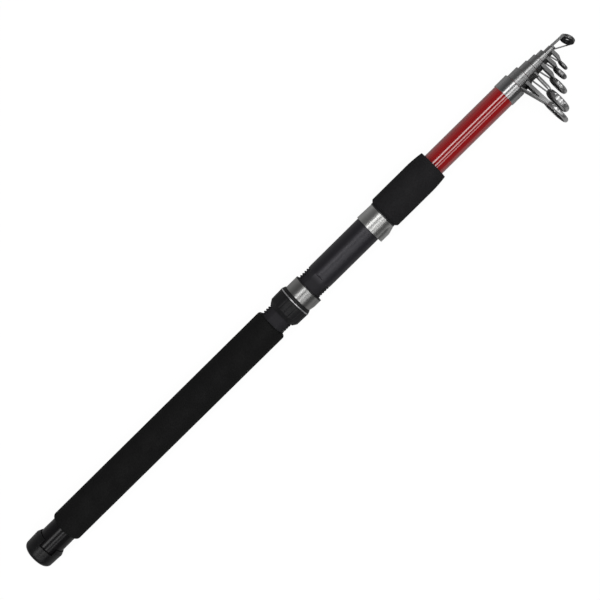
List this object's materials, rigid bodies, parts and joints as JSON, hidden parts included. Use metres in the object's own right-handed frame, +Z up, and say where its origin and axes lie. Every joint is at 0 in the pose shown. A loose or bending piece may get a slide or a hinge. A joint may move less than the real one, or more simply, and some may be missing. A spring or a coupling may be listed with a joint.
{
  "type": "telescopic fishing rod",
  "caption": "Closed telescopic fishing rod with foam grips, a screw-locked reel seat, nested sections in metal sleeves that carry fanned line guides, a tip guide and a rubber butt cap.",
  "frame": {"origin": "centre of the butt cap's flat end, on the rod's axis", "axes": "+X along the rod towards the tip, -Y towards the line guides, +Z up with the rod lying on its side"},
  "size_m": [0.5988, 0.0645, 0.0298],
  "materials": {
    "cap_rubber": "moulded matt black rubber",
    "plug_plastic": "moulded black plastic",
    "pad_foam": "firm foam",
    "blank_red": "clear-coated glass fibre, red, black under the butt",
    "tip_white": "varnished solid glass fibre",
    "grip_foam": "fine closed-cell foam, matt black",
    "seat_plastic": "satin graphite-filled plastic",
    "arbor_tape": "wound packing tape",
    "nut_plastic": "satin black plastic",
    "trim_chrome": "polished",
    "hood_steel": "brushed stainless steel",
    "liner_plastic": "moulded black plastic",
    "sleeve_steel": "turned and polished",
    "guide_steel": "dark gunmetal plating",
    "ring_ceramic": "polished black ceramic"
  },
  "bodies": {
    "handle": {"butt_insert": "plug_plastic", "butt_blank": "blank_red", "rear_grip": "grip_foam", "reel_seat_barrel": "seat_plastic", "seat_arbors": "arbor_tape", "fixed_hood": "hood_steel", "seat_end_ring": "liner_plastic", "fore_grip": "grip_foam", "front_ferrule": "sleeve_steel"},
    "hood": {"sliding_hood": "hood_steel", "hood_liner": "liner_plastic"},
    "nut": {"lock_nut": "nut_plastic", "nut_trim_ring": "trim_chrome"},
    "seal": {"cap_seal": "cap_rubber"},
    "cap": {"butt_cap": "cap_rubber", "cap_plug": "plug_plastic", "cap_pad": "pad_foam"},
    "section_2": {"section_2_blank": "blank_red", "section_2_sleeve": "sleeve_steel", "guide_1_frame": "guide_steel", "guide_1_ring": "ring_ceramic"},
    "section_3": {"section_3_blank": "blank_red", "section_3_sleeve": "sleeve_steel", "guide_2_frame": "guide_steel", "guide_2_ring": "ring_ceramic"},
    "section_4": {"section_4_blank": "blank_red", "section_4_sleeve": "sleeve_steel", "guide_3_frame": "guide_steel", "guide_3_ring": "ring_ceramic"},
    "section_5": {"section_5_blank": "blank_red", "section_5_sleeve": "sleeve_steel", "guide_4_frame": "guide_steel", "guide_4_ring": "ring_ceramic"},
    "tip": {"tip_blank": "tip_white", "tip_top_frame": "guide_steel", "tip_top_ring": "ring_ceramic"},
    "loose_guide": {"guide_5_sleeve": "sleeve_steel", "guide_5_frame": "guide_steel", "guide_5_ring": "ring_ceramic"}
  },
  "joints": [
    {"name": "section_2_slide", "type": "slide", "parent": "handle", "child": "section_2", "axis": [1, 0, 0], "range_m": [0, 0.4499]},
    {"name": "section_3_slide", "type": "slide", "parent": "section_2", "child": "section_3", "axis": [1, 0, 0], "range_m": [0, 0.4582]},
    {"name": "section_4_slide", "type": "slide", "parent": "section_3", "child": "section_4", "axis": [1, 0, 0], "range_m": [0, 0.4649]},
    {"name": "section_5_slide", "type": "slide", "parent": "section_4", "child": "section_5", "axis": [1, 0, 0], "range_m": [0, 0.4707]},
    {"name": "tip_slide", "type": "slide", "parent": "section_5", "child": "tip", "axis": [1, 0, 0], "range_m": [0, 0.475]},
    {"name": "loose_guide_slide", "type": "slide", "parent": "tip", "child": "loose_guide", "axis": [-1, 0, 0], "range_m": [0, 0.24]},
    {"name": "hood_slide", "type": "slide", "parent": "handle", "child": "hood", "axis": [1, 0, 0], "range_m": [-0.0097, 0.0217]},
    {"name": "nut_turn", "type": "hinge", "parent": "hood", "child": "nut", "pos_m": [0.293, 0, 0], "axis": [1, 0, 0], "range_deg": [-1440, 3240]},
    {"name": "seal_slide", "type": "slide", "parent": "handle", "child": "seal", "axis": [-1, 0, 0], "range_m": [0, 0.0121]},
    {"name": "cap_turn", "type": "hinge", "parent": "seal", "child": "cap", "pos_m": [0, 0, 0], "axis": [-1, 0, 0], "range_deg": [0, 2880]}
  ],
  "couplings": [
    {"joint": "loose_guide_slide", "follows": "tip_slide", "ratio": 0.5},
    {"joint": "hood_slide", "follows": "nut_turn", "m_per_rad": 0.00038197},
    {"joint": "seal_slide", "follows": "cap_turn", "m_per_rad": 0.00023873}
  ]
}
